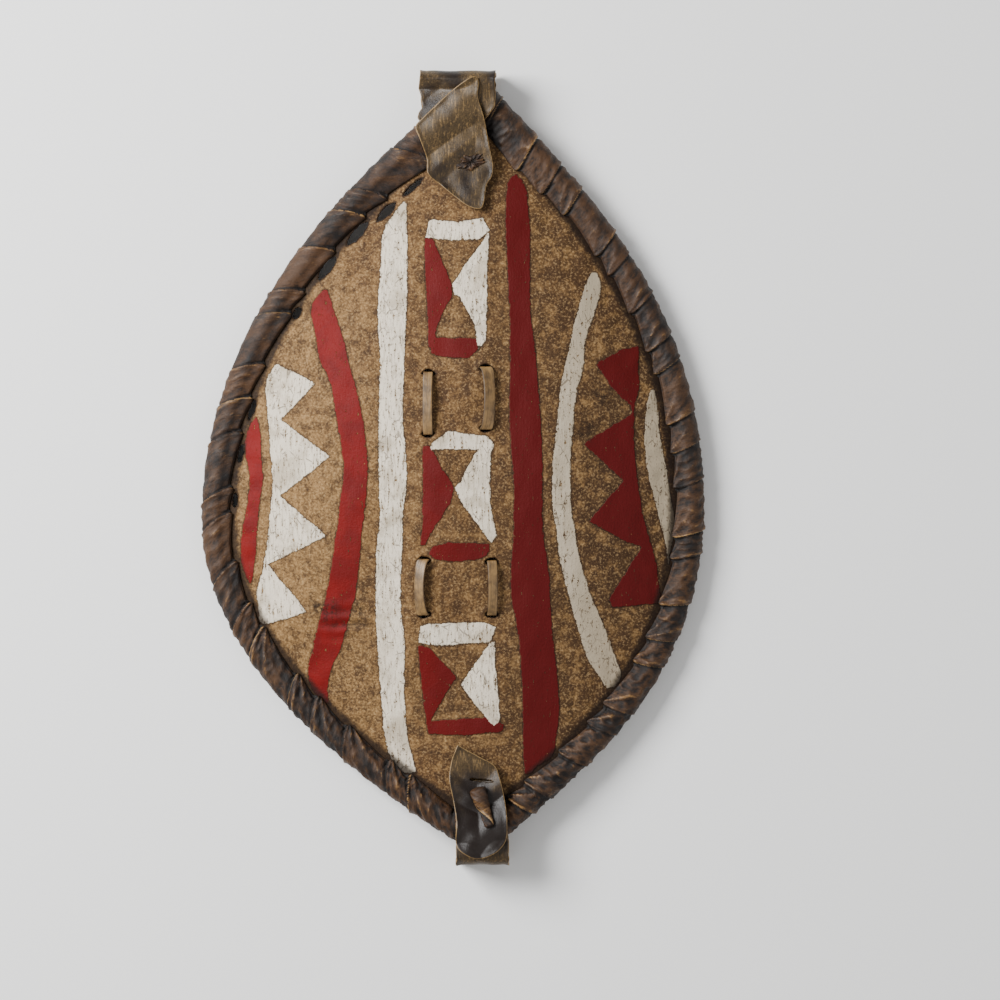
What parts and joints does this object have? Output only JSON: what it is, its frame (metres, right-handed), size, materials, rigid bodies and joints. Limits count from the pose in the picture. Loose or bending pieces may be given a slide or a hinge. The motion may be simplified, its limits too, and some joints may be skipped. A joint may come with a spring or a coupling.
{
  "type": "hide shield",
  "caption": "Pointed oval rawhide shield with a domed painted face, a hide-wound stick rim, folded end straps and a wooden grip stave behind, lying face up.",
  "frame": {"origin": "on the surface that the shield lies on, under the middle of its bounding box", "axes": "+X the shield's right seen from the front, +Y its top, +Z out of its painted face"},
  "size_m": [0.3899, 0.611, 0.0546],
  "materials": {
    "painted_rawhide": "dry scraped rawhide, tan to grey-brown, painted with matt red and white earth paint",
    "dark_hide_strip": "dark greasy wound hide with pale worn edges",
    "strap_hide": "smooth dark olive-brown strap hide, worn to a soft sheen",
    "thong_hide": "twisted pale rawhide thong",
    "rim_wood": "bare bent stick",
    "stave_wood": "knife-carved wood, darkened by handling at the grip"
  },
  "bodies": {
    "root": {"hide_sheet": "painted_rawhide", "rim_stick_left": "rim_wood", "rim_stick_right": "rim_wood", "rim_winding_left": "dark_hide_strip", "rim_winding_right": "dark_hide_strip", "grip_stave": "stave_wood", "upper_lashing": "thong_hide", "lower_lashing": "thong_hide", "top_strap": "strap_hide", "top_knot": "dark_hide_strip", "bottom_strap": "strap_hide", "bottom_toggle": "dark_hide_strip"}
  },
  "joints": []
}
